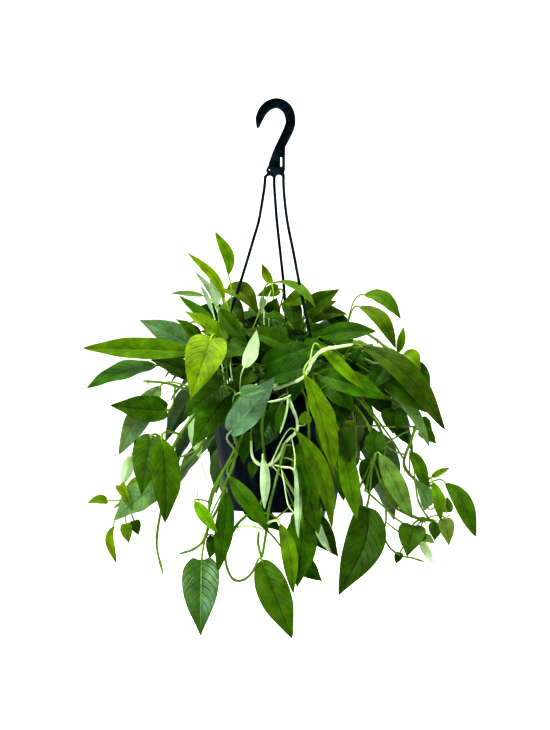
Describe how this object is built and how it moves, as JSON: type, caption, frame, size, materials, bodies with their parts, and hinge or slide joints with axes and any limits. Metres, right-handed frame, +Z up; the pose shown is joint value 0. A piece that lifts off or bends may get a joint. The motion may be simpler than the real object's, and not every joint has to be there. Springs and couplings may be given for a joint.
{
  "type": "potted cebu blue pothos",
  "caption": "Cebu blue pothos with narrow green and silver-blue leaves on upright and trailing stems, in a black plastic hanging pot on a hooked hanger",
  "frame": {"origin": "the highest point inside the hook, where it bears on what it hangs from", "axes": "+Z is up along the plumb line, +Y points away from the viewer of the picture and +X to the right"},
  "size_m": [0.4353, 0.3791, 0.5985],
  "materials": {
    "hanger_plastic": "satin",
    "pot_plastic": "gloss",
    "potting_mix": "crumbly",
    "foliage": "waxy"
  },
  "bodies": {
    "root": {"hanger": "hanger_plastic", "pot": "pot_plastic", "potting_mix": "potting_mix", "shoot_left_tall": "foliage", "shoot_left_front": "foliage", "shoot_centre_left": "foliage", "shoot_centre": "foliage", "shoot_right_back": "foliage", "shoot_inner_left": "foliage", "shoot_inner_right": "foliage", "trail_right_top": "foliage", "trail_right_big": "foliage", "trail_right_drop": "foliage", "trail_right_low": "foliage", "trail_right_long": "foliage", "trail_front_pale": "foliage", "trail_front_left": "foliage", "trail_front_loop": "foliage", "trail_front_u": "foliage", "trail_front_right": "foliage", "trail_bottom": "foliage", "trail_silver": "foliage", "trail_left_upper": "foliage", "trail_left_mid": "foliage", "trail_left_long": "foliage", "trail_left_bare": "foliage", "crown_back_right": "foliage", "crown_back_middle": "foliage", "crown_back_left": "foliage", "trail_back_right": "foliage", "trail_back_middle_right": "foliage", "trail_back_middle": "foliage", "trail_back_middle_left": "foliage", "trail_back_left": "foliage"}
  },
  "joints": []
}
